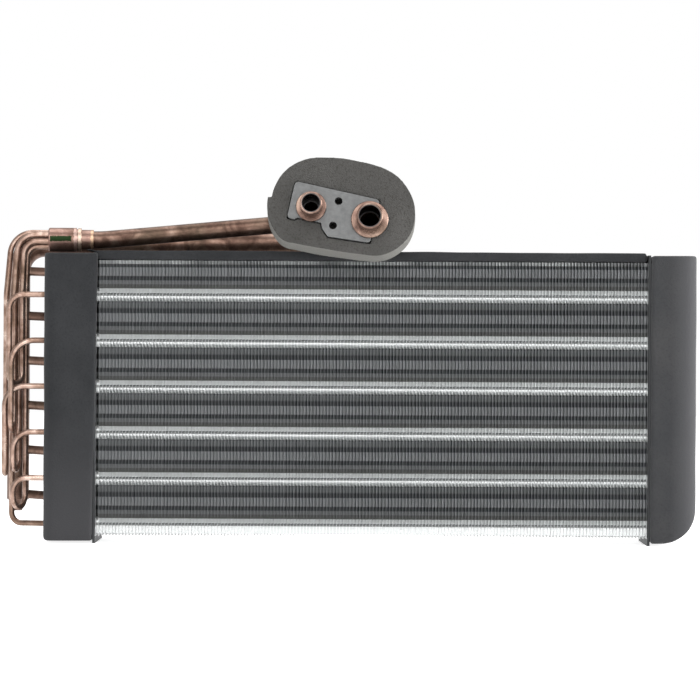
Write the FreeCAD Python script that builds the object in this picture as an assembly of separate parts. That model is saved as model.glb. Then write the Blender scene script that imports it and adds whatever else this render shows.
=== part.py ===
import FreeCAD, Part
import math
import os

from FreeCAD import Placement, Rotation, Vector

# Evaporator core, millimetres. X runs along the fins' stacking direction, Y away from the
# air inlet face, Z up. The model is laid out from the middle of the fin block, standing on
# the feet of its end plates, and is moved at the end so that the origin is the middle of
# the whole footprint.

# Fin block and its tube pattern
finned_length = 304.8
tube_pitch_z = 25.4
tube_pitch_y = 22.0
columns = (-1.5, -0.5, 0.5, 1.5)
fin_foot = 3.9
drawn_fins = 56
drawn_fin_thickness = 1.1
fin_reach_front = 8.0
fin_reach_back = 5.0
fin_reach_top = 1.0
collar_wall = 0.6
ridge_top_share = 0.42
ridge_slope = 1.6

# Coil tubes
tube_od = 9.52
tube_wall = 0.5
tube_fit = 0.15
right_stand = 3.5
bell_length = 5.0
bell_wall = 0.6
bell_fit = 0.05
bell_flare = 0.8
bell_floor = 1.2
bend_stand = 0.4
bend_inset = 1.4
neck_cone = 5.0
neck_length = 5.0
neck_wall = 0.9
neck_land = 0.5

# End plates
plate_thickness = 1.5
plate_margin_y = 1.0
plate_over_fins = 4.2
plate_flange = 12.0
plate_fold = 1.0

# Foam covers over both ends
cover_wall = 4.0
cover_fit = 0.5
cover_fold = 6.0
cover_foot = 1.2
cover_floor = 3.0
right_lip = 1.4
left_lip_overlap = 1.2
left_lip_slant = 2.8
right_corner_radius = 19.0
right_inner_radius = 11.0
left_corner_radius = 2.0
left_inner_radius = 1.0

# Foam strip on top of the fins
strip_thickness = 5.6
strip_rest = 0.1
strip_overhang = 7.0
strip_tongue_gap = 0.3

# Feeder tubes, and their layers in depth from the front tube row
feeder_od = 3.2
feeder_bore = 1.8
feeder_gap = 0.4
feeder_turn = 10.0
layer_back = 10.0
feeder_drift_turn = 40.0
feeder_insertion = 4.5
first_turn_outer = 12.5
first_turn_step = 1.3
drift_outer = 2.9
drift_step = 0.4
column_reach = 22.0
column_step = 2.2

# Distributor
distributor_radius = 6.6
distributor_circle = 3.9
distributor_inset = 1.3
distributor_body = 15.5
distributor_groove = 0.9
groove_depth = 0.7
chamber_radius = 5.2
distributor_ring = 1.8
distributor_neck = 6.8
distributor_bevel = 0.5
ring_relief = 0.2
chamber_cone = 3.0
socket_wall = 0.65
distributor_lift = 0.4
outlet_depth = 5.0

# Liquid line, suction line and header
liquid_od = 9.52
liquid_wall = 0.7
liquid_turn = 16.0
liquid_sweep = 60.0
suction_od = 12.7
suction_wall = 0.8
suction_turn = 24.0
suction_sweep = 45.0
header_turn = 15.0
header_reach = 19.9
header_foot = 14.8
header_nib = 3.5
header_nib_radius = 2.6
header_taper = 6.8
header_joint_inset = 0.3
header_slope = 0.015
line_gap = 0.6
sweep_gap = 0.4
socket_fit = 0.1
socket_depth = 8.0
stub_od = 5.0
stub_wall = 0.6
stub_rise = 1.6

# Port fittings, their block and the gasket, in the block's own tilted plane
port_tilt = 10.0
block_roll = 12.5
port_spacing = 33.0
port_x = -33.9
port_z = 185.8
block_thickness = 10.0
block_corner = 2.0
block_left = 11.6
block_right = 3.0
block_upper = 12.2
block_lower = 14.0
block_lower_rise = 1.8
notch_fit = 1.2
notch_slant = 1.1
notch_drop = 1.3
step_drop = 2.7
step_width = 5.2
screw_spacing = 14.0
screw_radius = 2.15
screw_s = 14.0
screw_u = -0.4
barrel_length = 12.0
collar_length = 2.4
shank_length = 16.0
land_length = 2.0
liquid_barrel_radius = 6.1
liquid_bore_radius = 4.9
liquid_collar_radius = 8.3
suction_barrel_radius = 7.2
suction_bore_radius = 5.9
suction_collar_radius = 10.2
shank_wall = 0.75
barrel_bevel = 0.4
collar_bevel = 0.3
land_wall = 0.75
gasket_thickness = 20.0
gasket_set_back = 1.5
gasket_fit = 0.3
gasket_front_gap = 0.4
gasket_slit = 0.8
slit_step = 0.6
slit_end = -9.0

# One row per circuit, top first: up-run place, layer steps ahead of the front tube row,
# height of the loop's lowest point, down-run place and its layer steps behind the first
# down layer, the outlet's angle on the distributor, and the radius of the turn into the
# cover. Places count column steps from the outermost run inwards.
feeder_routes = (
    (1.0, 0, 88.0, 4.0, 0, -165.0, 8.0),
    (1.6, 1, 62.0, 2.0, 0, 135.0, 13.0),
    (0.0, 0, 38.0, 0.0, 0, 75.0, 11.0),
    (2.1, 0, 40.0, 3.1, 1, -45.0, 10.0),
    (2.1, 0, 19.0, 4.85, 1, -105.0, 8.0),
    (1.5, 0, None, 1.5, 1, 15.0, 6.0),
)

circuits = len(feeder_routes)
fin_height = circuits * tube_pitch_z
fin_top = fin_foot + fin_height
half_length = finned_length / 2
half_depth = len(columns) * tube_pitch_y / 2
first_tube_z = fin_foot + tube_pitch_z / 4
tube_radius = tube_od / 2
bend_radius = math.hypot(tube_pitch_y, tube_pitch_z / 2) / 2
plate_outer = half_length + plate_thickness
plate_half_depth = half_depth + plate_margin_y
left_end = -(plate_outer + bell_length)
left_reach = -(plate_outer + bell_length + bend_stand + bend_radius + tube_radius)
right_reach = plate_outer + right_stand + bend_radius + tube_radius
cover_inner_depth = plate_half_depth + cover_fit
cover_outer_depth = cover_inner_depth + cover_wall
cover_left = left_reach - cover_fit - cover_wall
cover_right = right_reach + cover_fit + cover_wall
plate_height = fin_top + plate_over_fins
cover_top = plate_height
column_left = cover_left - column_reach
distributor_left = cover_left + distributor_inset
header_x = cover_left - header_reach
header_joint_x = cover_left + header_joint_inset
strip_top = fin_top + strip_rest + strip_thickness
front_row_y = columns[0] * tube_pitch_y
back_row_y = columns[-1] * tube_pitch_y
layer_step = feeder_od + feeder_gap
distributor_y = front_row_y + layer_back + layer_step / 2
line_socket_radius = liquid_od / 2 + socket_fit
distributor_neck_radius = line_socket_radius + socket_wall
distributor_z = strip_top + distributor_neck_radius + distributor_lift
suction_socket_radius = suction_od / 2 + socket_fit
header_y = cover_outer_depth + suction_socket_radius + shank_wall + line_gap
crossing_z = strip_top + suction_od / 2 + sweep_gap
axis_x = Vector(1, 0, 0)
axis_y = Vector(0, 1, 0)
axis_z = Vector(0, 0, 1)

tilt_rotation = Rotation(axis_x, 90 - port_tilt)
block_rotation = tilt_rotation.multiply(Rotation(axis_z, -block_roll))
port_axis = tilt_rotation.multVec(axis_z)
block_along = block_rotation.multVec(axis_x)


def tube_z(column, level):
    """Height of a coil tube; every second column is half a pitch higher."""
    return first_tube_z + level * tube_pitch_z + (column % 2) * tube_pitch_z / 2


def tube_y(column):
    return columns[column] * tube_pitch_y


def route(points, radii):
    """A wire of straight runs joined by tangent arcs at the inner points."""
    edges = []
    start = points[0]
    for i in range(1, len(points) - 1):
        here = points[i]
        arriving = (here - points[i - 1]).normalize()
        leaving = (points[i + 1] - here).normalize()
        turn = arriving.getAngle(leaving)
        if turn < 0.001:
            continue
        inset = radii[i - 1] * math.tan(turn / 2)
        arc_start = here - arriving * inset
        arc_end = here + leaving * inset
        inward = (leaving - arriving).normalize()
        centre = here + inward * (radii[i - 1] / math.cos(turn / 2))
        arc_middle = centre - inward * radii[i - 1]
        if (arc_start - start).Length > 1e-6:
            edges.append(Part.LineSegment(start, arc_start).toShape())
        edges.append(Part.Arc(arc_start, arc_middle, arc_end).toShape())
        start = arc_end
    edges.append(Part.LineSegment(start, points[-1]).toShape())
    return Part.Wire(edges)


def rod(path, radius):
    """A round bar swept along a wire."""
    first = path.Edges[0]
    begin = first.valueAt(first.FirstParameter)
    heading = first.tangentAt(first.FirstParameter)
    circle = Part.Wire(Part.Circle(begin, heading, radius).toShape())
    return path.makePipeShell([circle], True, False)


def tube(path, outer_radius, inner_radius):
    return rod(path, outer_radius).cut(rod(path, inner_radius))


def turned(profile):
    """A body of revolution about Z from (radius, height) points."""
    points = [Vector(radius, 0, height) for radius, height in profile]
    face = Part.Face(Part.makePolygon(points + [points[0]]))
    return face.revolve(Vector(0, 0, 0), axis_z, 360)


def turned_left(profile, centre_y, centre_z):
    """The same, with heights measured along -X from the middle of the fin block."""
    shape = turned(profile)
    shape.Placement = Placement(Vector(0, centre_y, centre_z), Rotation(axis_z, -axis_x))
    return shape


def straight_rod(start, end, radius):
    run = end - start
    return Part.makeCylinder(radius, run.Length, start, run)


def box(x0, x1, y0, y1, z0, z1):
    return Part.makeBox(x1 - x0, y1 - y0, z1 - z0, Vector(x0, y0, z0))


def prism(points, extrusion):
    return Part.Face(Part.makePolygon(points + [points[0]])).extrude(extrusion)


def coil_holes(radius, x0, x1):
    """Bars through every tube place, for cutting."""
    bars = []
    for column in range(len(columns)):
        for level in range(circuits):
            start = Vector(x0, tube_y(column), tube_z(column, level))
            bars.append(Part.makeCylinder(radius, x1 - x0, start, axis_x))
    return Part.makeCompound(bars)


def fin_root_outline(x):
    """Section of the block between two plates: flat, with a ridge along each front tube."""
    ridge = tube_radius + tube_fit + collar_wall
    root_front = fin_reach_front - half_depth
    tip = front_row_y - ridge
    tip_half = ridge_top_share * ridge
    foot_half = tip_half + ridge_slope * (root_front - tip)
    low = fin_foot + fin_reach_top
    high = fin_top - fin_reach_top
    points = [Vector(x, half_depth - fin_reach_back, high)]
    points.append(Vector(x, half_depth - fin_reach_back, low))
    points.append(Vector(x, root_front, low))
    for level in range(circuits):
        middle = tube_z(0, level)
        points.append(Vector(x, root_front, middle - foot_half))
        points.append(Vector(x, tip, middle - tip_half))
        points.append(Vector(x, tip, middle + tip_half))
        points.append(Vector(x, root_front, middle + foot_half))
    points.append(Vector(x, root_front, high))
    return Part.makePolygon(points + [points[0]])


def plate_outline(x):
    corners = [
        Vector(x, -half_depth, fin_foot),
        Vector(x, half_depth, fin_foot),
        Vector(x, half_depth, fin_top),
        Vector(x, -half_depth, fin_top),
    ]
    return Part.makePolygon(corners + [corners[0]])


def fin_pack():
    """Plates on a narrower root, one solid, with a hole for every coil tube."""
    pitch = (finned_length - drawn_fin_thickness) / (drawn_fins - 1)
    gap = pitch - drawn_fin_thickness
    faces = [Part.Face(plate_outline(-half_length)), Part.Face(plate_outline(half_length))]
    for i in range(drawn_fins):
        near = i * pitch - half_length
        far = near + drawn_fin_thickness
        faces += plate_outline(near).extrude(axis_x * drawn_fin_thickness).Faces
        if i > 0:
            faces.append(Part.Face([plate_outline(near), fin_root_outline(near)]))
        if i < drawn_fins - 1:
            faces.append(Part.Face([plate_outline(far), fin_root_outline(far)]))
            faces += fin_root_outline(far).extrude(axis_x * gap).Faces
    shell = Part.Shell(faces)
    shell.sewShape()
    block = Part.Solid(shell)
    if block.Volume < 0:
        block.reverse()
    holes = coil_holes(tube_radius + tube_fit, -half_length - 1, half_length + 1)
    return block.cut(holes)


def end_plate(side):
    """Folded sheet: a web with tube holes and two flanges turned outwards."""
    web = box(half_length, plate_outer, -plate_half_depth, plate_half_depth, 0, plate_height)
    low = cover_foot + cover_floor + cover_fit
    high = cover_top - cover_wall - cover_fit
    shape = web
    for wall in (-1, 1):
        inner = wall * (plate_half_depth - plate_thickness)
        outer = wall * plate_half_depth
        y0, y1 = sorted((inner, outer))
        shape = shape.fuse(box(half_length, half_length + plate_flange, y0, y1, low, high))
    shape = shape.removeSplitter()
    folds = []
    for edge in shape.Edges:
        bounds = edge.BoundBox
        upright = bounds.ZLength > high - low - 1 and bounds.XLength < 0.01 and bounds.YLength < 0.01
        at_fold = abs(bounds.XMin - half_length) < 0.01
        if upright and at_fold:
            folds.append(edge)
    shape = shape.makeFillet(plate_fold, folds)
    shape = shape.cut(coil_holes(tube_radius + tube_fit, half_length - 1, plate_outer + 1))
    if side < 0:
        shape = shape.mirror(Vector(0, 0, 0), axis_x)
    return shape


def neck(end_radius, bore, centre_y, centre_z):
    """Coil tube end drawn down to take a thinner tube."""
    start = plate_outer
    cone_end = start + neck_cone
    tip = cone_end + neck_length
    inner = tube_radius - tube_wall
    profile = [
        (tube_radius, start),
        (end_radius, cone_end),
        (end_radius, tip),
        (bore, tip),
        (bore, cone_end),
        (inner, start + neck_land),
        (inner, start),
    ]
    return turned_left(profile, centre_y, centre_z)


def bell(centre_y, centre_z):
    """Coil tube end widened to take a return bend."""
    start = plate_outer
    bore = tube_radius + bell_fit
    profile = [
        (tube_radius, start),
        (bore + bell_wall, start + bell_flare),
        (bore + bell_wall, start + bell_length),
        (bore, start + bell_length),
        (bore, start + bell_floor),
        (tube_radius - tube_wall, start + bell_floor - 0.3),
        (tube_radius - tube_wall, start),
    ]
    return turned_left(profile, centre_y, centre_z)


def u_route(x_open, x_bend, column_a, column_b, level_a, level_b, outwards):
    """Two straight legs joined by a half circle."""
    leg_a = Vector(0, tube_y(column_a), tube_z(column_a, level_a))
    leg_b = Vector(0, tube_y(column_b), tube_z(column_b, level_b))
    radius = (leg_b - leg_a).Length / 2
    middle = (leg_a + leg_b) * 0.5 + axis_x * (x_bend + outwards * radius)
    open_a = leg_a + axis_x * x_open
    open_b = leg_b + axis_x * x_open
    turn_a = leg_a + axis_x * x_bend
    turn_b = leg_b + axis_x * x_bend
    return Part.Wire([
        Part.LineSegment(open_a, turn_a).toShape(),
        Part.Arc(turn_a, middle, turn_b).toShape(),
        Part.LineSegment(turn_b, open_b).toShape(),
    ])


def front_hairpin(level):
    path = u_route(-plate_outer, plate_outer + right_stand, 0, 1, level, level, 1)
    body = tube(path, tube_radius, tube_radius - tube_wall)
    bore = feeder_od / 2 + bell_fit
    feeder_end = neck(bore + neck_wall, bore, tube_y(0), tube_z(0, level))
    bend_end = bell(tube_y(1), tube_z(1, level))
    return body.fuse([feeder_end, bend_end])


def rear_hairpin(level):
    path = u_route(-plate_outer, plate_outer + right_stand, 2, 3, level, level, 1)
    body = tube(path, tube_radius, tube_radius - tube_wall)
    bore = stub_od / 2 + bell_fit
    bend_end = bell(tube_y(2), tube_z(2, level))
    stub_end = neck(bore + neck_wall, bore, tube_y(3), tube_z(3, level))
    return body.fuse([bend_end, stub_end])


def return_bend(level):
    x_open = -(plate_outer + bend_inset)
    path = u_route(x_open, left_end - bend_stand, 1, 2, level, level, -1)
    return tube(path, tube_radius, tube_radius - tube_wall)


def rounded_slab(x_inner, x_outer, z0, z1, y_half, corner):
    """A block whose lower outer corner, seen from the front, is an arc."""
    side = 1 if x_outer > x_inner else -1
    low_in = Vector(x_inner, -y_half, z0)
    arc_in = Vector(x_outer - side * corner, -y_half, z0)
    centre = Vector(x_outer - side * corner, -y_half, z0 + corner)
    diagonal = Vector(side, 0, -1).normalize()
    arc_out = Vector(x_outer, -y_half, z0 + corner)
    high_out = Vector(x_outer, -y_half, z1)
    high_in = Vector(x_inner, -y_half, z1)
    outline = Part.Wire([
        Part.LineSegment(low_in, arc_in).toShape(),
        Part.Arc(arc_in, centre + diagonal * corner, arc_out).toShape(),
        Part.LineSegment(arc_out, high_out).toShape(),
        Part.LineSegment(high_out, high_in).toShape(),
        Part.LineSegment(high_in, low_in).toShape(),
    ])
    return Part.Face(outline).extrude(axis_y * (2 * y_half))


def folded_block(x_inner, x_outer, z0, z1, y_half, corner, fold):
    """The slab with its two upright outer edges rounded, as folded foam sheet is."""
    slab = rounded_slab(x_inner, x_outer, z0, z1, y_half, corner)
    x0, x1 = sorted((x_inner, x_outer))
    block = box(x0, x1, -y_half, y_half, z0 - 1, z1 + 1)
    edges = []
    for edge in block.Edges:
        bounds = edge.BoundBox
        if bounds.ZLength > 1 and abs(bounds.XMin - x_outer) < 0.01:
            edges.append(edge)
    return block.makeFillet(fold, edges).common(slab)


def cover(side, x_outer, x_lip, corner, inner_corner):
    """Foam cap: front, back, outer, top and bottom walls, open towards the end plate."""
    web_face = side * (plate_outer + cover_fit)
    outer = folded_block(x_lip, x_outer, cover_foot, cover_top, cover_outer_depth, corner, cover_fold)
    inner = folded_block(
        x_lip - side * 2,
        x_outer - side * cover_wall,
        cover_foot + cover_floor,
        cover_top - cover_wall,
        cover_inner_depth,
        inner_corner,
        cover_fold - cover_wall,
    )
    x0, x1 = sorted((x_lip - side * 2, web_face))
    web_room = box(x0, x1, -cover_inner_depth, cover_inner_depth, -1, cover_top + 1)
    return outer.cut([inner, web_room])


def left_cover():
    x_lip = left_lip_overlap - half_length
    shape = cover(-1, cover_left, x_lip, left_corner_radius, left_inner_radius)
    lip = [
        Vector(x_lip + 1, -cover_outer_depth - 1, cover_top),
        Vector(x_lip, -cover_outer_depth - 1, cover_top),
        Vector(x_lip - left_lip_slant, -cover_outer_depth - 1, 0),
        Vector(x_lip + 1, -cover_outer_depth - 1, 0),
    ]
    shape = shape.cut(prism(lip, axis_y * (cover_outer_depth + 1)))
    cuts = []
    for number in range(circuits):
        entry = feeder_points(number)[-3:-1]
        cuts.append(straight_rod(entry[0], entry[1], feeder_od / 2 + cover_fit))
        stub = stub_points(number)
        cuts.append(straight_rod(stub[1], stub[2], stub_od / 2 + cover_fit))
    return shape.cut(cuts)


def right_cover():
    x_lip = half_length + right_lip
    return cover(1, cover_right, x_lip, right_corner_radius, right_inner_radius)


def top_strip():
    """Foam strip on the fins, with a thin tongue over the left plate and cover."""
    low = fin_top + strip_rest
    x_left = -half_length - strip_overhang
    strip = box(x_left, half_length - strip_rest, -half_depth, half_depth, low, strip_top)
    under = box(
        x_left - 1,
        -half_length + strip_rest,
        -half_depth - 1,
        half_depth + 1,
        low - 1,
        cover_top + strip_tongue_gap,
    )
    return strip.cut(under)


def column_x(place):
    return column_left + place * column_step


def outlet_point(angle, x):
    """A point on the axis of the distributor's outlet at that angle."""
    turn = math.radians(angle)
    y = distributor_y + distributor_circle * math.cos(turn)
    z = distributor_z + distributor_circle * math.sin(turn)
    return Vector(x, y, z)


def feeder_points(number):
    """Corners of one feeder's route, from the distributor to its coil tube."""
    up_place, up_layer, loop_z, down_place, down_layer, angle, _ = feeder_routes[number]
    level = circuits - 1 - number
    entry_z = tube_z(0, level)
    outlet = outlet_point(angle, distributor_left + outlet_depth)
    down_x = column_x(down_place)
    down_y = front_row_y + layer_back + down_layer * layer_step
    drift = drift_outer - drift_step * down_place
    points = [
        outlet,
        Vector(down_x + drift, outlet.y, outlet.z),
        Vector(down_x, down_y, tube_z(0, circuits - 1)),
    ]
    if loop_z is None:
        points.append(Vector(down_x, down_y, entry_z))
    else:
        up_x = column_x(up_place)
        up_y = front_row_y - up_layer * layer_step
        points.append(Vector(down_x, down_y, loop_z))
        points.append(Vector(up_x, up_y, loop_z))
        points.append(Vector(up_x, up_y, entry_z))
    mouth = -(plate_outer + neck_cone + neck_length)
    points.append(Vector(mouth - 4, front_row_y, entry_z))
    points.append(Vector(mouth + feeder_insertion, front_row_y, entry_z))
    return points


def feeder_path(number):
    points = feeder_points(number)
    entry_turn = feeder_routes[number][-1]
    down_place = feeder_routes[number][3]
    first_turn = first_turn_outer - first_turn_step * down_place
    radii = [first_turn, feeder_drift_turn]
    if feeder_routes[number][2] is not None:
        loop_radius = (points[4] - points[3]).Length / 2
        radii += [loop_radius, loop_radius]
    radii += [entry_turn, feeder_turn]
    return route(points, radii)


def feeder(number):
    return tube(feeder_path(number), feeder_od / 2, feeder_bore / 2)


def distributor():
    """Turned body on a horizontal axis, with an outlet for each feeder."""
    left = -distributor_left
    body_end = left - distributor_body
    groove_end = body_end - distributor_groove
    ring_end = groove_end - distributor_ring
    neck_end = ring_end - distributor_neck
    ring_radius = distributor_radius - ring_relief
    chamber_end = body_end + 2
    profile = [
        (0, left),
        (distributor_radius - distributor_bevel, left),
        (distributor_radius, left - distributor_bevel),
        (distributor_radius, body_end),
        (distributor_radius - groove_depth, body_end),
        (distributor_radius - groove_depth, groove_end),
        (ring_radius, groove_end),
        (ring_radius, ring_end),
        (distributor_neck_radius, ring_end),
        (distributor_neck_radius, neck_end),
        (line_socket_radius, neck_end),
        (line_socket_radius, ring_end - distributor_bevel),
        (chamber_radius, ring_end + distributor_bevel),
        (chamber_radius, chamber_end),
        (0, chamber_end + chamber_cone),
    ]
    shape = turned_left(profile, distributor_y, distributor_z)
    cuts = []
    for circuit in feeder_routes:
        mouth = outlet_point(circuit[5], distributor_left - 1)
        cuts.append(Part.makeCylinder(feeder_od / 2 + bell_fit, outlet_depth + 1, mouth, axis_x))
        cuts.append(Part.makeCylinder(feeder_bore / 2, distributor_body, mouth, axis_x))
    return shape.cut(cuts)


def on_port_axis(base, height):
    return base + port_axis * height


def gasket_arcs():
    """Outline of the gasket: each arc's start, a point on it and its end."""
    return (
        ((-24.0, 6.1), (-23.4, -6.0), (-17.8, -16.6)),
        ((-17.8, -16.6), (-14.6, -18.9), (-10.0, -20.0)),
        ((-10.0, -20.0), (10.0, -23.8), (30.0, -26.5)),
        ((30.0, -26.5), (50.3, -20.6), (57.5, -2.0)),
        ((57.5, -2.0), (53.0, 11.7), (37.0, 23.6)),
        ((37.0, 23.6), (15.0, 28.2), (0.0, 28.2)),
        ((0.0, 28.2), (-14.6, 20.8), (-21.2, 9.4)),
    )


# The gasket's back plane passes just in front of the strip's upper front edge
tilt = math.radians(port_tilt)
gasket_back = gasket_set_back + gasket_thickness
port_reach = (gasket_back - math.sin(tilt) * (port_z - strip_top)) / math.cos(tilt)
port_y = -half_depth - gasket_front_gap - port_reach
liquid_base = Vector(port_x, port_y, port_z)
suction_base = liquid_base + block_along * port_spacing


def fitting(base, barrel_radius, bore_radius, collar_radius, line_od):
    """Port fitting: barrel with a collar in front, shank and line socket behind."""
    socket = line_od / 2 + socket_fit
    shank_radius = socket + shank_wall
    land_radius = line_od / 2 - land_wall
    land_low = -(shank_length - socket_depth)
    profile = [
        (bore_radius, barrel_length),
        (barrel_radius - barrel_bevel, barrel_length),
        (barrel_radius, barrel_length - barrel_bevel),
        (barrel_radius, collar_length),
        (collar_radius - collar_bevel, collar_length),
        (collar_radius, collar_length - collar_bevel),
        (collar_radius, 0),
        (shank_radius, 0),
        (shank_radius, -shank_length),
        (socket, -shank_length),
        (socket, land_low),
        (land_radius, land_low),
        (land_radius, land_low + land_length),
        (bore_radius, land_low + land_length),
    ]
    shape = turned(profile)
    shape.Placement = Placement(base, tilt_rotation)
    return shape


def block_outline():
    """Retainer plate in its own plane, from the liquid port's axis."""
    right = port_spacing + block_right
    notch = liquid_barrel_radius + notch_fit
    corners = (
        (-block_left, block_upper),
        (-block_left, -notch - notch_drop),
        (-notch, -notch - notch_drop),
        (-notch + notch_slant, -notch),
        (notch, -notch),
        (notch + notch_slant, -notch - step_drop),
        (notch + step_width, -block_lower),
        (right, block_lower_rise - block_lower),
        (right, block_upper),
    )
    return [Vector(s, u, 0) for s, u in corners]


def port_block():
    """Plate that keeps both fittings, with two screw holes and a notch at its right."""
    shape = prism(block_outline(), axis_z * -block_thickness)
    rounded = []
    for edge in shape.Edges:
        bounds = edge.BoundBox
        at_side = abs(bounds.XMin + block_left) < 0.1 or bounds.XMin > port_spacing
        outer_corner = at_side or abs(bounds.YMin + block_lower) < 0.1
        if bounds.ZLength > 1 and outer_corner:
            rounded.append(edge)
    shape = shape.makeFillet(block_corner, rounded)
    deep = block_thickness + 2
    holes = []
    for s, line_od in ((0, liquid_od), (port_spacing, suction_od)):
        radius = line_od / 2 + socket_fit + shank_wall + tube_fit
        holes.append(Part.makeCylinder(radius, deep, Vector(s, 0, -deep + 1)))
    for step in (-0.5, 0.5):
        place = Vector(screw_s, screw_u + step * screw_spacing, -deep + 1)
        holes.append(Part.makeCylinder(screw_radius, deep, place))
    shape = shape.cut(holes)
    shape.Placement = Placement(liquid_base, block_rotation)
    return shape


def port_gasket():
    """Foam pad with a pocket for the block and a hole for each fitting, slit at its left."""
    edges = []
    for start, middle, end in gasket_arcs():
        arc = Part.Arc(Vector(*start, 0), Vector(*middle, 0), Vector(*end, 0))
        edges.append(arc.toShape())
    first = gasket_arcs()[0][0]
    last = gasket_arcs()[-1][2]
    step_in = Vector(last[0] - slit_step, first[1] + gasket_slit, 0)
    edges.append(Part.LineSegment(Vector(*last, 0), step_in).toShape())
    edges.append(Part.LineSegment(step_in, Vector(*first, 0)).toShape())
    pad = Part.Face(Part.Wire(edges)).extrude(axis_z * -gasket_thickness)
    pad.translate(axis_z * -gasket_set_back)
    deep = gasket_back + 2
    pocket_depth = block_thickness + gasket_fit
    pocket = Part.Face(Part.makePolygon(block_outline() + [block_outline()[0]]))
    pocket = pocket.makeOffset2D(gasket_fit).extrude(axis_z * -pocket_depth)
    holes = []
    for s, socket in ((0, line_socket_radius), (port_spacing, suction_socket_radius)):
        room = socket + shank_wall + gasket_fit
        holes.append(Part.makeCylinder(room, deep, Vector(s, 0, -deep)))
    opening = pocket.fuse(holes)
    opening.Placement = Placement(Vector(0, 0, 0), Rotation(axis_z, -block_roll))
    slit = box(first[0] - 1, slit_end, first[1], first[1] + gasket_slit, -deep, 0)
    shape = pad.cut([opening, slit])
    shape.Placement = Placement(liquid_base, tilt_rotation)
    return shape


def liquid_line():
    """From the distributor over the top of the core and forwards into its fitting."""
    start = Vector(distributor_left + distributor_body + distributor_groove + distributor_ring + 1.0,
                   distributor_y, distributor_z)
    socket_mouth = start.x + distributor_neck
    corner_height = (distributor_y - port_y) / port_axis.y
    corner = on_port_axis(liquid_base, corner_height)
    points = [
        start,
        Vector(socket_mouth + 4, distributor_y, distributor_z),
        corner,
        on_port_axis(liquid_base, -(shank_length - socket_depth)),
    ]
    path = route(points, [liquid_sweep, liquid_turn])
    return tube(path, liquid_od / 2, liquid_od / 2 - liquid_wall)


def suction_corner():
    return Vector(suction_base.x, header_y, crossing_z)


def header_corner():
    rise = header_slope * (suction_base.x - header_x)
    return Vector(header_x, header_y, crossing_z - rise)


def suction_heading():
    return (suction_corner() - header_corner()).normalize()


def joint_point(offset):
    """A point on the suction run, counted from the header's joint."""
    heading = suction_heading()
    reach = (header_joint_x - header_x) / heading.x
    return header_corner() + heading * (reach + offset)


def header_route():
    foot = Vector(header_x, header_y, header_foot + header_taper)
    return route([foot, header_corner(), joint_point(0)], [header_turn])


def suction_header():
    """Upright tube with a tapered closed foot, bent over at the top into a socket."""
    outer_radius = suction_od / 2
    inner_radius = outer_radius - suction_wall
    shape = tube(header_route(), outer_radius, inner_radius)
    top = header_foot + header_taper
    nib_top = header_foot + header_nib
    foot = turned([
        (0, header_foot),
        (header_nib_radius, header_foot),
        (header_nib_radius, nib_top),
        (outer_radius, top),
        (inner_radius, top),
        (header_nib_radius - suction_wall, nib_top + suction_wall),
        (0, nib_top),
    ])
    foot.translate(Vector(header_x, header_y, 0))
    heading = suction_heading()
    ring_radius = suction_socket_radius + shank_wall
    ring = Part.makeCylinder(ring_radius, socket_depth, joint_point(-0.5), heading)
    room = Part.makeCylinder(suction_socket_radius, socket_depth + 1, joint_point(0), heading)
    bore = Part.makeCylinder(inner_radius, socket_depth, joint_point(-1), heading)
    shape = shape.fuse([foot, ring.cut([room, bore])])
    drills = []
    for number in range(circuits):
        points = stub_points(number)
        drills.append(straight_rod(points[1], points[2], stub_od / 2 - stub_wall))
    return shape.cut(drills)


def suction_line():
    """Behind the core, then forwards over its top into the suction fitting."""
    approach = on_port_axis(suction_base, -(shank_length + 10))
    points = [
        joint_point(0.3),
        suction_corner(),
        approach,
        on_port_axis(suction_base, -(shank_length - socket_depth)),
    ]
    path = route(points, [suction_turn, suction_sweep])
    return tube(path, suction_od / 2, suction_od / 2 - suction_wall)


def stub_points(number):
    """From a back-row coil tube out through the cover to the header's axis."""
    level = circuits - 1 - number
    height = tube_z(3, level)
    mouth = -(plate_outer + neck_cone + neck_length)
    return [
        Vector(mouth + feeder_insertion, back_row_y, height),
        Vector(mouth - 4, back_row_y, height),
        Vector(header_x, header_y, height + stub_rise),
    ]


def suction_stub(number):
    """Trimmed to the outside of the header."""
    path = route(stub_points(number), [feeder_turn])
    shape = tube(path, stub_od / 2, stub_od / 2 - stub_wall)
    shape = shape.cut(rod(header_route(), suction_od / 2))
    return max(shape.Solids, key=lambda solid: solid.Volume)


pieces = {
    "fin_pack": fin_pack(),
    "left_end_plate": end_plate(-1),
    "right_end_plate": end_plate(1),
    "left_foam_cover": left_cover(),
    "right_foam_cover": right_cover(),
    "top_foam_strip": top_strip(),
    "distributor": distributor(),
    "liquid_line": liquid_line(),
    "suction_header": suction_header(),
    "suction_line": suction_line(),
    "liquid_port": fitting(
        liquid_base, liquid_barrel_radius, liquid_bore_radius, liquid_collar_radius, liquid_od
    ),
    "suction_port": fitting(
        suction_base, suction_barrel_radius, suction_bore_radius, suction_collar_radius, suction_od
    ),
    "port_block": port_block(),
    "port_gasket": port_gasket(),
}
for number in range(circuits):
    name = str(number + 1)
    level = circuits - 1 - number
    pieces["front_hairpin_" + name] = front_hairpin(level)
    pieces["rear_hairpin_" + name] = rear_hairpin(level)
    pieces["return_bend_" + name] = return_bend(level)
    pieces["feeder_" + name] = feeder(number)
    pieces["suction_stub_" + name] = suction_stub(number)

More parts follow.
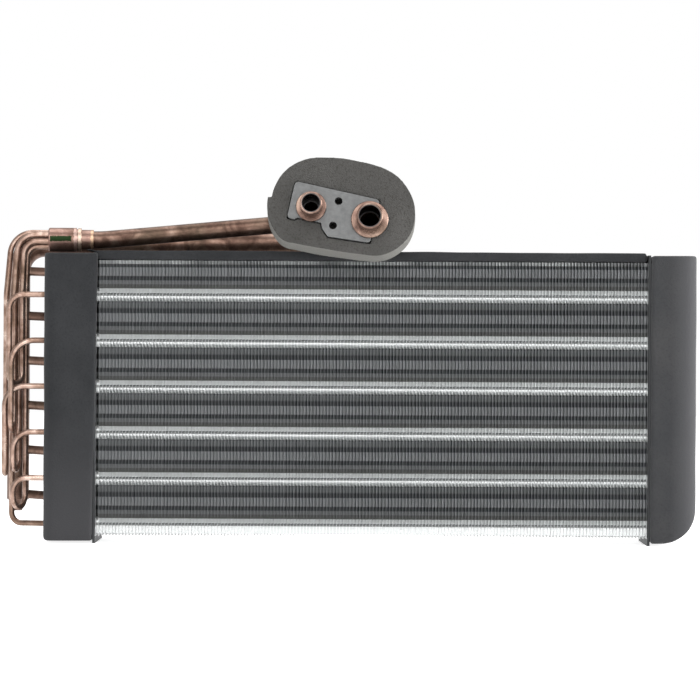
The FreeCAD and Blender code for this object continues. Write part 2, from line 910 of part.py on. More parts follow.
bounds = Part.makeCompound(list(pieces.values())).optimalBoundingBox(False, False)
to_origin = Vector(-bounds.Center.x, -bounds.Center.y, -bounds.ZMin)
os.makedirs("parts", exist_ok=True)
for name, shape in pieces.items():
    shape.translate(to_origin)
    shape.exportStep("parts/" + name + ".step")
    print(name, "valid" if shape.isValid() else "INVALID", len(shape.Solids), round(shape.Volume, 1))
print("origin moved by", to_origin, "overall", bounds.XLength, bounds.YLength, bounds.ZLength)
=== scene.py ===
import math
import random

import bpy
from mathutils import Matrix, Vector, noise


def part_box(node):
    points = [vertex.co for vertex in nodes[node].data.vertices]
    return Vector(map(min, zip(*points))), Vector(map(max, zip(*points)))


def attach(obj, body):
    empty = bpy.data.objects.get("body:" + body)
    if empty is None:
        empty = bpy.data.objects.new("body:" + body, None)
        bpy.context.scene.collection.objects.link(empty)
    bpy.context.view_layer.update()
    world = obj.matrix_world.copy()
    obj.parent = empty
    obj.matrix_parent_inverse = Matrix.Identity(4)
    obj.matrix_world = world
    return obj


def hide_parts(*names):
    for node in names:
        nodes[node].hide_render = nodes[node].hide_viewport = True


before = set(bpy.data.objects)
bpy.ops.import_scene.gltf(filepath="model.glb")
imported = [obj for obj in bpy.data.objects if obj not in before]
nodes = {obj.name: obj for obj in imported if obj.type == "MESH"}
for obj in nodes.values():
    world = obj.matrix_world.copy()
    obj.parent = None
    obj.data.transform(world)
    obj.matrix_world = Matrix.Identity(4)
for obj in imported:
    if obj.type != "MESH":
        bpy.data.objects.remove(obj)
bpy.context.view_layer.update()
print("frame loaded:", len(nodes), "nodes")

# the middle of the fin block is where every piece is measured from, as on the drawing
finLow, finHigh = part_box("fin_pack")
coreX = (finLow.x + finHigh.x) / 2
coreY = (finLow.y + finHigh.y) / 2
millimetre = 0.001


def place(x, y, z):  # drawing millimetres to scene metres
    return Vector((coreX + x * millimetre, coreY + y * millimetre, z * millimetre))


def fromHex(code):  # sRGB hex to linear
    channels = []
    for start in (0, 2, 4):
        value = int(code[start:start + 2], 16) / 255
        channels.append(value / 12.92 if value <= 0.04045 else ((value + 0.055) / 1.055) ** 2.4)
    return (*channels, 1.0)


def addNode(tree, kind, sockets=None, stops=None, **settings):
    node = tree.nodes.new(kind)
    for key, value in settings.items():
        setattr(node, key, value)
    if stops:
        ramp = node.color_ramp
        ramp.elements.remove(ramp.elements[1])
        ramp.elements[0].position = stops[0][0]
        ramp.elements[0].color = fromHex(stops[0][1])
        for position, code in stops[1:]:
            ramp.elements.new(position).color = fromHex(code)
    for key, value in (sockets or {}).items():
        if isinstance(value, bpy.types.NodeSocket):
            tree.links.new(value, node.inputs[key])
        else:
            node.inputs[key].default_value = value
    return node


def startMaterial(name):
    material = bpy.data.materials.new(name)
    material.use_nodes = True
    material.node_tree.nodes.clear()
    return material, material.node_tree


def finishMaterial(tree, shader):
    addNode(tree, "ShaderNodeOutputMaterial", {"Surface": shader.outputs[0]})


def meshObject(name, points, faces, smooth=False):
    mesh = bpy.data.meshes.new(name)
    mesh.from_pydata(points, [], faces)
    mesh.update()
    if smooth:
        mesh.shade_smooth()
    obj = bpy.data.objects.new(name, mesh)
    bpy.context.scene.collection.objects.link(obj)
    return obj


def fitOut(obj, material, replaced):  # finish, rider and what the piece stands for
    obj.data.materials.clear()
    obj.data.materials.append(material)
    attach(obj, "root")
    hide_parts(*replaced)


def applyModifiers(obj):  # works them into the mesh
    graph = bpy.context.evaluated_depsgraph_get()
    mesh = bpy.data.meshes.new_from_object(obj.evaluated_get(graph))
    obj.modifiers.clear()
    old = obj.data
    obj.data = mesh
    bpy.data.meshes.remove(old)


# Finishes

coil = {  # lengths in millimetres
    "rowPitch": 25.4,
    "firstTube": 10.25,  # height of the lowest front tube
    "columns": (-33.0, -11.0, 11.0, 33.0),
    "rows": 6,
    "collarRadius": 5.2,
    "sides": 40,
}

# height above a front tube as a share of the row pitch, and the tone painted there as light and
# shade, in the bands where the rows catch the light: of the foil, of the collars and of the foil's
# shorn edges
finLightBands = [(0.0, "f6f8f8"), (0.136, "f6f8f8"), (0.142, "7c7d7a"), (0.225, "888987"),
            (0.24, "aaacae"), (0.31, "aaacae"), (0.325, "707274"), (0.40, "707274"),
            (0.42, "c6c8ca"), (0.59, "c6c8ca"), (0.61, "707274"), (0.69, "707274"),
            (0.73, "a6a8aa"), (0.83, "a6a8aa"), (0.842, "929495"), (0.858, "929495"),
            (0.862, "d6d8d8")]
collarLightBands = [(0.0, "8c8e8e"), (0.036, "8c8e8e"), (0.046, "ced0d0"), (0.16, "ced0d0"),
               (0.17, "8a8c8e"), (0.86, "8a8c8e"), (0.87, "fafcfc"), (0.972, "fafcfc"),
               (0.98, "8c8e8e")]
shornLightBands = [(0.0, "929494"), (0.036, "929494"), (0.046, "d2d4d4"), (0.136, "d2d4d4"),
              (0.142, "6e7072"), (0.858, "6e7072"), (0.868, "fafcfc"), (0.972, "fafcfc"),
              (0.98, "929494")]


def pitchShare(tree, coords):  # how far up from the front tube below, from 0 to 1
    split = addNode(tree, "ShaderNodeSeparateXYZ", {"Vector": coords.outputs["Object"]})
    rows = addNode(tree, "ShaderNodeMapRange",
                   {"Value": split.outputs["Z"],
                    "From Min": (coil["firstTube"] - coil["rowPitch"]) * millimetre,
                    "From Max": coil["firstTube"] * millimetre}, clamp=False)
    return addNode(tree, "ShaderNodeMath", {0: rows.outputs["Result"]}, operation="FRACT"), split


def distanceFrom(tree, value, centre):  # how far a coordinate is from a plane, either way
    away = addNode(tree, "ShaderNodeMath", {0: value, 1: centre}, operation="SUBTRACT")
    return addNode(tree, "ShaderNodeMath", {0: away.outputs[0]}, operation="ABSOLUTE")


finFinish = {
    "headHeight": 2.0,  # millimetres of free end at the top and at the bottom, where light is painted on
    "footHeight": 4.8,
    "headHighlightTone": "f2f4f4",
    # painted light from the floor on the foil's bottom end
    "footLightTone": "fafbfb",
    "patchScale": 45.0,  # patches of the painted highlight along the top, about 22 mm across
    "litShare": (0.15, 0.95),  # share of the painted highlight in the dimmest and the brightest patches
    "shornDepth": (42.2, 43.2),  # millimetres from the middle, where the shorn edges come in
    "shornShare": 0.75,
}


def rolledAluminiumFin():
    # thin rolled foil: light and shade are painted into its tone in bands along the rows of tubes,
    # where its ripples, too fine to build, catch the light; a patchy painted highlight lies along
    # its free end at the top and painted light from the floor along its free end at the bottom,
    # and its shorn front edges get painted bands of their own, darker between the tubes
    material, tree = startMaterial("rolled aluminium fin")
    coords = addNode(tree, "ShaderNodeTexCoord")
    share, split = pitchShare(tree, coords)
    bands = addNode(tree, "ShaderNodeValToRGB", {"Fac": share.outputs[0]}, stops=finLightBands)
    head = addNode(tree, "ShaderNodeMath",
                   {0: split.outputs["Z"], 1: finHigh.z - finFinish["headHeight"] * millimetre},
                   operation="GREATER_THAN")
    foot = addNode(tree, "ShaderNodeMath",
                   {0: split.outputs["Z"], 1: finLow.z + finFinish["footHeight"] * millimetre},
                   operation="LESS_THAN")
    patches = addNode(tree, "ShaderNodeTexNoise",
                      {"Vector": coords.outputs["Object"], "Scale": finFinish["patchScale"],
                       "Detail": 2.0})
    litShare = addNode(tree, "ShaderNodeMapRange",
                     {"Value": patches.outputs["Fac"], "From Min": 0.35, "From Max": 0.6,
                      "To Min": finFinish["litShare"][0], "To Max": finFinish["litShare"][1]})
    headShare = addNode(tree, "ShaderNodeMath",
                        {0: head.outputs[0], 1: litShare.outputs["Result"]}, operation="MULTIPLY")
    depth = distanceFrom(tree, split.outputs["Y"], coreY)
    shornFrom, shornTo = finFinish["shornDepth"]
    shorn = addNode(tree, "ShaderNodeMapRange",
                    {"Value": depth.outputs[0], "From Min": shornFrom * millimetre,
                     "From Max": shornTo * millimetre,
                     "To Min": 0.0, "To Max": finFinish["shornShare"]})
    edges = addNode(tree, "ShaderNodeValToRGB", {"Fac": share.outputs[0]}, stops=shornLightBands)
    edgeBanded = addNode(tree, "ShaderNodeMix",
                     {0: shorn.outputs["Result"], 6: bands.outputs["Color"],
                      7: edges.outputs["Color"]}, data_type="RGBA")
    headed = addNode(tree, "ShaderNodeMix",
                     {0: headShare.outputs[0], 6: edgeBanded.outputs[2],
                      7: fromHex(finFinish["headHighlightTone"])}, data_type="RGBA")
    tint = addNode(tree, "ShaderNodeMix",
                   {0: foot.outputs[0], 6: headed.outputs[2],
                    7: fromHex(finFinish["footLightTone"])}, data_type="RGBA")
    shader = addNode(tree, "ShaderNodeBsdfPrincipled",
                     {"Base Color": tint.outputs[2], "Metallic": 0.2, "Roughness": 0.5})
    finishMaterial(tree, shader)
    return material


collarFinish = {
    "footBelow": 3.0,  # millimetres under the axis of the lowest front tube, below which light from the floor is painted on
    "footLightTone": "fafcfc",
    "wearScale": 140.0,  # worn spots about 7 mm across
    "roughness": (0.2, 0.3),
}


def drawnAluminiumCollar():
    # collars drawn from the fins: stretched metal, with light and shade painted in bands by
    # height: a light-grey painted highlight above each tube's axis, a painted white reflection of
    # the floor below it, a darker line between them at the axis, painted shade over the rest where
    # the fins shade it, and under the lowest tubes painted light from the floor, as bright as the
    # fins' bottom ends
    material, tree = startMaterial("drawn aluminium collar")
    coords = addNode(tree, "ShaderNodeTexCoord")
    share, split = pitchShare(tree, coords)
    bands = addNode(tree, "ShaderNodeValToRGB", {"Fac": share.outputs[0]}, stops=collarLightBands)
    foot = addNode(tree, "ShaderNodeMath",
                   {0: split.outputs["Z"],
                    1: (coil["firstTube"] - collarFinish["footBelow"]) * millimetre},
                   operation="LESS_THAN")
    tint = addNode(tree, "ShaderNodeMix",
                   {0: foot.outputs[0], 6: bands.outputs["Color"],
                    7: fromHex(collarFinish["footLightTone"])}, data_type="RGBA")
    wear = addNode(tree, "ShaderNodeTexNoise",
                   {"Vector": coords.outputs["Object"], "Scale": collarFinish["wearScale"],
                    "Detail": 3.0})
    gloss = addNode(tree, "ShaderNodeMapRange",
                    {"Value": wear.outputs["Fac"], "To Min": collarFinish["roughness"][0],
                     "To Max": collarFinish["roughness"][1]})
    shader = addNode(tree, "ShaderNodeBsdfPrincipled",
                     {"Base Color": tint.outputs[2], "Metallic": 0.5,
                      "Roughness": gloss.outputs["Result"]})
    finishMaterial(tree, shader)
    return material


sheetFinish = {
    "streakScale": (900.0, 900.0, 25.0),  # streaks about 1 mm wide and 40 mm high
    # painted shade: near-black tones, for the shade between the covers and the fins
    "tones": ("2e2f30", "3c3d3f"),
    "metallic": 0.6,
    "lipInset": 0.05,  # millimetres inside the fins' ends, where a lip starts
    # painted light from the floor on the lips
    "lipLightTone": "f6f8f8",
}


def millAluminiumSheet():
    # folded sheet with faint rolling streaks along its height, toned near black as painted shade,
    # the shade in the gap between the covers and the fins; its lips under the fins are painted as
    # bright as the fins' bottom ends, with painted light from the floor, and lose their shine
    material, tree = startMaterial("mill aluminium sheet")
    coords = addNode(tree, "ShaderNodeTexCoord")
    stretch = addNode(tree, "ShaderNodeMapping",
                      {"Vector": coords.outputs["Object"],
                       "Scale": sheetFinish["streakScale"]})
    streaks = addNode(tree, "ShaderNodeTexNoise",
                      {"Vector": stretch.outputs["Vector"], "Scale": 1.0, "Detail": 2.0})
    tint = addNode(tree, "ShaderNodeValToRGB", {"Fac": streaks.outputs["Fac"]},
                   stops=[(0.3, sheetFinish["tones"][0]), (0.7, sheetFinish["tones"][1])])
    split = addNode(tree, "ShaderNodeSeparateXYZ", {"Vector": coords.outputs["Object"]})
    distance = distanceFrom(tree, split.outputs["X"], coreX)
    lipReach = (finHigh.x - finLow.x) / 2 - sheetFinish["lipInset"] * millimetre
    lip = addNode(tree, "ShaderNodeMath", {0: distance.outputs[0], 1: lipReach},
                  operation="LESS_THAN")
    lipped = addNode(tree, "ShaderNodeMix",
                     {0: lip.outputs[0], 6: tint.outputs["Color"],
                      7: fromHex(sheetFinish["lipLightTone"])}, data_type="RGBA")
    metallic = addNode(tree, "ShaderNodeMapRange",
                       {"Value": lip.outputs[0], "To Min": sheetFinish["metallic"],
                        "To Max": 0.0})
    shader = addNode(tree, "ShaderNodeBsdfPrincipled",
                     {"Base Color": lipped.outputs[2], "Metallic": metallic.outputs["Result"],
                      "Roughness": 0.5})
    finishMaterial(tree, shader)
    return material


portAxis = (0.0, -0.984808, 0.173648)  # out of the ports, ten degrees up from level

portFinish = {
    "boreShade": "16110f",
    "thinning": (0.1, 0.7),  # millimetres outside the bore, where the painted shade thins and ends
    "rim": 0.05,  # millimetres of a port's front that count as its rim
    "boreRadius": {"liquid_port": 4.9, "suction_port": 5.9},
}


def paintedBoreShade(tree, colour, metallic, bores):
    # painted shade: each bore is darkened to near black and loses its shine, and the darkening
    # runs out over its lip, so that no bright ring shows round the mouth
    coords = addNode(tree, "ShaderNodeTexCoord")
    for bore in bores:
        away = addNode(tree, "ShaderNodeVectorMath",
                       {0: coords.outputs["Object"], 1: bore["mouth"]}, operation="SUBTRACT")
        across = addNode(tree, "ShaderNodeVectorMath", {0: away.outputs[0], 1: portAxis},
                         operation="CROSS_PRODUCT")
        radius = addNode(tree, "ShaderNodeVectorMath", {0: across.outputs[0]}, operation="LENGTH")
        inside = addNode(tree, "ShaderNodeMapRange",
                         {"Value": radius.outputs["Value"],
                          "From Min": (bore["radius"] + portFinish["thinning"][0]) * millimetre,
                          "From Max": (bore["radius"] + portFinish["thinning"][1]) * millimetre,
                          "To Min": 1.0, "To Max": 0.0})
        dark = addNode(tree, "ShaderNodeMix",
                       {0: inside.outputs["Result"], 6: colour,
                        7: fromHex(portFinish["boreShade"])}, data_type="RGBA")
        colour = dark.outputs[2]
        shine = addNode(tree, "ShaderNodeMix",
                        {0: inside.outputs["Result"], 2: metallic, 3: 0.0}, data_type="FLOAT")
        metallic = shine.outputs[0]
    return colour, metallic


bodyMark = {
    "middle": (-173.0, -21.2, 168.4),
    "half": (5.9, 1.5),  # millimetres along and up
    "tone": "182a10",
    "softEdge": 0.2,
    "wander": 1.6,  # how far the edges wander
    "wanderScale": 700.0,  # within about 1.4 mm
    # the middle, half width and tone of each pale ring painted around the body as a highlight
    "highlightRings": [(-164.9, 0.9, "b89c91"), (-162.6, 0.9, "d0b8a6"), (-155.8, 0.8, "c2a287")],
}


def paintDabAndHighlights(tree, coords, colour, mark):
    # a dab of dark green paint on the side that faces the air inlet, over pale rings painted
    # around the body as highlights
    wander = mark["wander"] * millimetre
    edge = addNode(tree, "ShaderNodeTexNoise",
                   {"Vector": coords.outputs["Object"], "Scale": mark["wanderScale"],
                    "Detail": 2.0})
    wobble = addNode(tree, "ShaderNodeVectorMath",
                     {0: edge.outputs["Color"], 1: (wander, 0.0, wander),
                      2: coords.outputs["Object"]}, operation="MULTIPLY_ADD")
    split = addNode(tree, "ShaderNodeSeparateXYZ", {"Vector": wobble.outputs[0]})
    middle = place(*mark["middle"])
    dab = addNode(tree, "ShaderNodeMath", {0: split.outputs["Y"], 1: middle.y},
                  operation="LESS_THAN")
    for axis, centre, half in (("X", middle.x, mark["half"][0]),
                               ("Z", middle.z, mark["half"][1])):
        distance = distanceFrom(tree, split.outputs[axis], centre + wander / 2)
        inside = addNode(tree, "ShaderNodeMapRange",
                         {"Value": distance.outputs[0],
                          "From Min": (half - mark["softEdge"]) * millimetre,
                          "From Max": (half + mark["softEdge"]) * millimetre,
                          "To Min": 1.0, "To Max": 0.0})
        dab = addNode(tree, "ShaderNodeMath",
                      {0: dab.outputs[0], 1: inside.outputs["Result"]}, operation="MULTIPLY")
    for centre, half, code in mark["highlightRings"]:
        distance = distanceFrom(tree, split.outputs["X"], place(centre, 0, 0).x + wander / 2)
        inside = addNode(tree, "ShaderNodeMath",
                         {0: distance.outputs[0], 1: half * millimetre}, operation="LESS_THAN")
        ringed = addNode(tree, "ShaderNodeMix",
                         {0: inside.outputs[0], 6: colour, 7: fromHex(code)}, data_type="RGBA")
        colour = ringed.outputs[2]
    painted = addNode(tree, "ShaderNodeMix",
                      {0: dab.outputs[0], 6: colour, 7: fromHex(mark["tone"])},
                      data_type="RGBA")
    return painted.outputs[2]


copperFinish = {
    "stainScale": 95.0,  # stains about 10 mm across
    "hazeScale": 38.0,  # olive haze about 26 mm across
    "olive": "6b6452",
    "oliveShare": 0.35,
    "metallic": 0.85,
    "grainScale": 900.0,  # drawing marks, at about 1 mm coarser than real ones so they show
    "grainDepth": 0.2,
}


def handledCopper(name, codes, rough=(0.3, 0.5), mark=None, bores=()):
    # drawn copper tube after brazing and handling: pink metal, brown oxide, olive stains
    material, tree = startMaterial(name)
    coords = addNode(tree, "ShaderNodeTexCoord")
    stains = addNode(tree, "ShaderNodeTexNoise",
                     {"Vector": coords.outputs["Object"], "Scale": copperFinish["stainScale"],
                      "Detail": 6.0, "Roughness": 0.62, "Distortion": 0.5})
    metal = addNode(tree, "ShaderNodeValToRGB", {"Fac": stains.outputs["Fac"]},
                    stops=[(0.28, codes[0]), (0.43, codes[1]), (0.56, codes[2]), (0.72, codes[3])])
    haze = addNode(tree, "ShaderNodeTexNoise",
                   {"Vector": coords.outputs["Object"], "Scale": copperFinish["hazeScale"],
                    "Detail": 3.0})
    olive = addNode(tree, "ShaderNodeMapRange",
                    {"Value": haze.outputs["Fac"], "From Min": 0.52, "From Max": 0.72,
                     "To Min": 0.0, "To Max": copperFinish["oliveShare"]})
    tinted = addNode(tree, "ShaderNodeMix",
                     {0: olive.outputs["Result"], 6: metal.outputs["Color"],
                      7: fromHex(copperFinish["olive"])}, data_type="RGBA")
    colour = tinted.outputs[2]
    if mark:
        colour = paintDabAndHighlights(tree, coords, colour, mark)
    colour, metallic = paintedBoreShade(tree, colour, copperFinish["metallic"], bores)
    gloss = addNode(tree, "ShaderNodeMapRange",
                    {"Value": stains.outputs["Fac"], "From Min": 0.3, "From Max": 0.7,
                     "To Min": rough[1], "To Max": rough[0]})
    grain = addNode(tree, "ShaderNodeTexNoise",
                    {"Vector": coords.outputs["Object"], "Scale": copperFinish["grainScale"],
                     "Detail": 2.0})
    bump = addNode(tree, "ShaderNodeBump",
                   {"Height": grain.outputs["Fac"], "Strength": 0.25,
                    "Distance": copperFinish["grainDepth"] * millimetre})
    shader = addNode(tree, "ShaderNodeBsdfPrincipled",
                     {"Base Color": colour, "Metallic": metallic,
                      "Roughness": gloss.outputs["Result"], "Normal": bump.outputs["Normal"]})
    finishMaterial(tree, shader)
    return material


blockFinish = {
    "tones": ("626363", "727373"),
    "grainScale": 420.0,  # at about 2 mm coarser than the real grain so that it shows
    "grainDepth": 0.3,
}


def tumbledZincBlock():
    # cast zinc, tumbled: light grey with a fine satin grain
    material, tree = startMaterial("tumbled grey block")
    coords = addNode(tree, "ShaderNodeTexCoord")
    grain = addNode(tree, "ShaderNodeTexNoise",
                    {"Vector": coords.outputs["Object"], "Scale": blockFinish["grainScale"],
                     "Detail": 4.0})
    tint = addNode(tree, "ShaderNodeValToRGB", {"Fac": grain.outputs["Fac"]},
                   stops=[(0.3, blockFinish["tones"][0]), (0.7, blockFinish["tones"][1])])
    bump = addNode(tree, "ShaderNodeBump",
                   {"Height": grain.outputs["Fac"], "Strength": 0.2,
                    "Distance": blockFinish["grainDepth"] * millimetre})
    shader = addNode(tree, "ShaderNodeBsdfPrincipled",
                     {"Base Color": tint.outputs["Color"], "Metallic": 0.35, "Roughness": 0.5,
                      "Normal": bump.outputs["Normal"]})
    finishMaterial(tree, shader)
    return material


foamFinish = {
    "cloudScale": 30.0,  # faint clouds about 33 mm across
    "speckShare": 0.7,  # dark pores for each cell, along a line
    "roughness": 0.95,
    "specular": 0.25,
    "fuzz": 0.12,
}


def closedCellFoam(name, codes, cell, depth, pores, cutEdge=None, paintedLight=None):
    # closed-cell foam sheet: matte, fine cells, slightly furry at grazing light, paler where
    # a cut edge shows its open cells, and with painted light: lighter along one axis where light
    # falls.
    # A cell is drawn a little coarser than a real one, so that it shows
    material, tree = startMaterial(name)
    coords = addNode(tree, "ShaderNodeTexCoord")
    cells = addNode(tree, "ShaderNodeTexVoronoi",
                    {"Vector": coords.outputs["Object"], "Scale": 1.0 / (cell * millimetre)})
    cloud = addNode(tree, "ShaderNodeTexNoise",
                    {"Vector": coords.outputs["Object"], "Scale": foamFinish["cloudScale"],
                     "Detail": 5.0, "Roughness": 0.6})
    tint = addNode(tree, "ShaderNodeValToRGB", {"Fac": cloud.outputs["Fac"]},
                   stops=[(0.35, codes[0]), (0.65, codes[1])])
    speck = addNode(tree, "ShaderNodeTexNoise",
                    {"Vector": coords.outputs["Object"],
                     "Scale": foamFinish["speckShare"] / (cell * millimetre),
                     "Detail": 2.0})
    holes = addNode(tree, "ShaderNodeMapRange",
                    {"Value": speck.outputs["Fac"], "From Min": 0.5, "From Max": 0.68,
                     "To Min": 0.0, "To Max": pores})
    pored = addNode(tree, "ShaderNodeMix",
                    {0: holes.outputs["Result"], 6: tint.outputs["Color"], 7: fromHex(codes[2])},
                    data_type="RGBA")
    colour = pored.outputs[2]
    # painted light: a lighter tone blended in along one axis, where more light falls
    if paintedLight:
        split = addNode(tree, "ShaderNodeSeparateXYZ", {"Vector": coords.outputs["Object"]})
        litShare = addNode(tree, "ShaderNodeMapRange",
                         {"Value": split.outputs[paintedLight["axis"]], "From Min": paintedLight["from"],
                          "From Max": paintedLight["to"]})
        lightened = addNode(tree, "ShaderNodeMix",
                          {0: litShare.outputs["Result"], 6: colour, 7: fromHex(paintedLight["tone"])},
                          data_type="RGBA")
        colour = lightened.outputs[2]
    if cutEdge:
        facing = addNode(tree, "ShaderNodeVectorMath",
                         {0: coords.outputs["Normal"], 1: cutEdge["skin"]},
                         operation="DOT_PRODUCT")
        turned = addNode(tree, "ShaderNodeMath", {0: facing.outputs["Value"]},
                         operation="ABSOLUTE")
        edge = addNode(tree, "ShaderNodeMapRange",
                       {"Value": turned.outputs[0], "From Min": 0.35, "From Max": 0.75,
                        "To Min": 1.0, "To Max": 0.0})
        paler = addNode(tree, "ShaderNodeMix",
                        {0: edge.outputs["Result"], 6: colour, 7: fromHex(cutEdge["tone"])},
                        data_type="RGBA")
        colour = paler.outputs[2]
    bump = addNode(tree, "ShaderNodeBump",
                   {"Height": cells.outputs["Distance"], "Strength": 0.6,
                    "Distance": depth * millimetre})
    shader = addNode(tree, "ShaderNodeBsdfPrincipled",
                     {"Base Color": colour, "Roughness": foamFinish["roughness"],
                      "Specular IOR Level": foamFinish["specular"],
                      "Sheen Weight": foamFinish["fuzz"],
                      "Normal": bump.outputs["Normal"]})
    finishMaterial(tree, shader)
    return material


def portMouth(node, radius):  # the middle of the front rim, on the axis of the bore
    axis = Vector(portAxis)
    world = nodes[node].matrix_world
    spots = [world @ vertex.co for vertex in nodes[node].data.vertices]
    front = max(spot.dot(axis) for spot in spots)
    rim = [spot for spot in spots if spot.dot(axis) > front - portFinish["rim"] * millimetre]
    return {"mouth": sum(rim, Vector()) / len(rim), "radius": radius}


finMetal = rolledAluminiumFin()
collarMetal = drawnAluminiumCollar()
sheetMetal = millAluminiumSheet()
copperLine = handledCopper("handled copper line", ("32231d", "584238", "775e52", "917b6e"))
copperFeeder = handledCopper("handled copper feeder", ("5e483c", "8f7364", "b4988a", "dac5b7"),
                             rough=(0.24, 0.42))
copperPort = handledCopper("machined copper port", ("4a3a32", "665047", "7c655a", "947d72"),
                           rough=(0.22, 0.36),
                           bores=[portMouth(node, radius)
                                  for node, radius in portFinish["boreRadius"].items()])
copperBody = handledCopper("brazed copper body", ("5b463d", "84655a", "9c7d72", "b89c91"),
                           mark=bodyMark)
blockMetal = tumbledZincBlock()
# lit and shaded copies of one charcoal foam: the darker copy, on the left cover and the top strip,
# is painted as shade away from the light on the right, and painted lighter towards the bottom of
# the left cover; the paler copy, on the right cover, is painted as lit from the right and lighter
# still towards its right edge
darkFoam = closedCellFoam("charcoal closed-cell foam", ("28292b", "323335", "212224"),
                          cell=0.9, depth=0.2, pores=0.35,
                          paintedLight={"axis": "Z", "from": place(0, 0, 75).z,
                                "to": place(0, 0, 10).z, "tone": "404042"})
paintedLitFoam = closedCellFoam("charcoal foam painted lit from the right", ("363739", "3f3f40", "2d2e30"),
                          cell=0.9, depth=0.2, pores=0.35,
                          paintedLight={"axis": "X", "from": place(165, 0, 0).x,
                                "to": place(174, 0, 0).x, "tone": "4b4b4d"})
greyFoam = closedCellFoam("grey open foam", ("484745", "545351", "35332f"),
                          cell=0.7, depth=0.3, pores=0.6,
                          cutEdge={"skin": portAxis, "tone": "777671"})
print("finishes ready")

# Rippled fins

finSpec = {
    "count": 168,  # fourteen to the inch
    "stacks": 4,
    "thickness": 0.12,
    "front": -44.0,  # the face where the air goes in
    "rippleLength": 12.7,
    "rippleHeight": 0.08,
    "rippleDepth": 2.4,
    "seed": 11,
    "swing": (0.75, 1.1),  # shares of the ripple height that the fins get
    "lean": 0.03,  # spread of how far a fin's edges lean
    "drift": 0.03,  # and of how far it stands from its place
    "bendHeight": 1.42,  # an S-bend behind each face, so that no light passes straight
    "bendHalf": 5.5,
    "bendMiddle": 36.0,
    "bendSteps": 6,
    "endSwing": 0.7,  # the fins beside the end plates are flatter and almost straight
    "endBend": 0.05,
    "flatBelow": 3.3,  # no bend this far below and above the axis of a tube
    "flatAbove": 0.9,
    "flatFade": 0.2,
    "brow": 1.4,  # how much deeper the bend is just above that, where it hides the collar
}


def finColumns():  # depth, edge share of the ripple and bend shift
    front = finSpec["front"]
    half = finSpec["bendHalf"]
    columns = [(front, 1.0, 0.0), (front + finSpec["rippleDepth"] / 2, 0.5, 0.0)]
    for i in range(finSpec["bendSteps"] + 1):
        share = i / finSpec["bendSteps"]
        shift = finSpec["bendHeight"] * math.sin(2 * math.pi * share)
        columns.append((-finSpec["bendMiddle"] - half + 2 * half * share, 0.0, shift))
    return columns + [(-depth, ripple, -shift) for depth, ripple, shift in columns[::-1]]


def finLevels():  # heights where the foil changes between flat and bent
    low = finLow.z / millimetre
    high = finHigh.z / millimetre
    below = finSpec["flatBelow"]
    above = finSpec["flatAbove"]
    fade = finSpec["flatFade"]
    levels = [low, high]
    for step in range(2 * coil["rows"] + 1):
        middle = coil["firstTube"] + step * coil["rowPitch"] / 2
        for offset in (-below - fade, -below, above, above + fade):
            if low < middle + offset < high:
                levels.append(middle + offset)
    return sorted(levels)


def besideTube(z, depth):
    # share of the bend: 0 level with a tube of the nearer row, 1 between two tubes, and
    # more just above a tube
    row = coil["rowPitch"]
    if z < coil["firstTube"]:
        return 0.0
    middle = coil["firstTube"] + (row / 2 if depth > 0 else 0.0)
    away = (z - middle + row / 2) % row - row / 2
    flat = finSpec["flatAbove"] if away > 0 else finSpec["flatBelow"]
    full = finSpec["brow"] if 0 < away < coil["collarRadius"] else 1.0
    return full * min(max((abs(away) - flat) / finSpec["flatFade"], 0.0), 1.0)


def addFin(points, faces, x, swing, lean, bend):
    columns = finColumns()
    levels = finLevels()
    sides = []
    for side in (-0.5, 0.5):
        rows = []
        for depth, ripple, shift in columns:
            row = []
            for z in levels:
                turn = 2 * math.pi * (z - coil["firstTube"]) / finSpec["rippleLength"]
                edge = ripple * (finSpec["rippleHeight"] * swing * math.cos(turn) + lean)
                edge += bend * shift * besideTube(z, depth)
                row.append(len(points))
                points.append(place(x + edge + side * finSpec["thickness"], depth, z))
            rows.append(row)
        sides.append(rows)
    for number, rows in enumerate(sides):
        for a, b in zip(rows, rows[1:]):
            quads = [(a[i], b[i], b[i + 1], a[i + 1]) for i in range(len(a) - 1)]
            faces += [q if number else q[::-1] for q in quads]
    left, right = sides
    for a, b, turned in ((left[0], right[0], False), (left[-1], right[-1], True)):
        for i in range(len(a) - 1):
            quad = (a[i], b[i], b[i + 1], a[i + 1])
            faces.append(quad[::-1] if turned else quad)
    for end, turned in ((0, True), (-1, False)):
        for k in range(len(left) - 1):
            quad = (left[k][end], right[k][end], right[k + 1][end], left[k + 1][end])
            faces.append(quad[::-1] if turned else quad)


def buildFins():
    dice = random.Random(finSpec["seed"])
    length = (finHigh.x - finLow.x) / millimetre
    pitch = (length - finSpec["thickness"] - 2 * finSpec["rippleHeight"]) / (finSpec["count"] - 1)
    start = -length / 2 + finSpec["thickness"] / 2 + finSpec["rippleHeight"]
    perStack = finSpec["count"] // finSpec["stacks"]
    for stack in range(finSpec["stacks"]):
        points = []
        faces = []
        for i in range(stack * perStack, (stack + 1) * perStack):
            x = start + i * pitch
            swing = dice.uniform(*finSpec["swing"])
            lean = dice.gauss(0, finSpec["lean"])
            bend = 1.0
            if 0 < i < finSpec["count"] - 1:
                x += dice.gauss(0, finSpec["drift"])
            else:
                swing = finSpec["endSwing"]
                lean = 0.0
                bend = finSpec["endBend"]
            addFin(points, faces, x, swing, lean, bend)
        obj = meshObject(f"finStack{stack + 1}", points, faces)
        fitOut(obj, finMetal, ["fin_pack"])
    print("fins:", finSpec["count"])


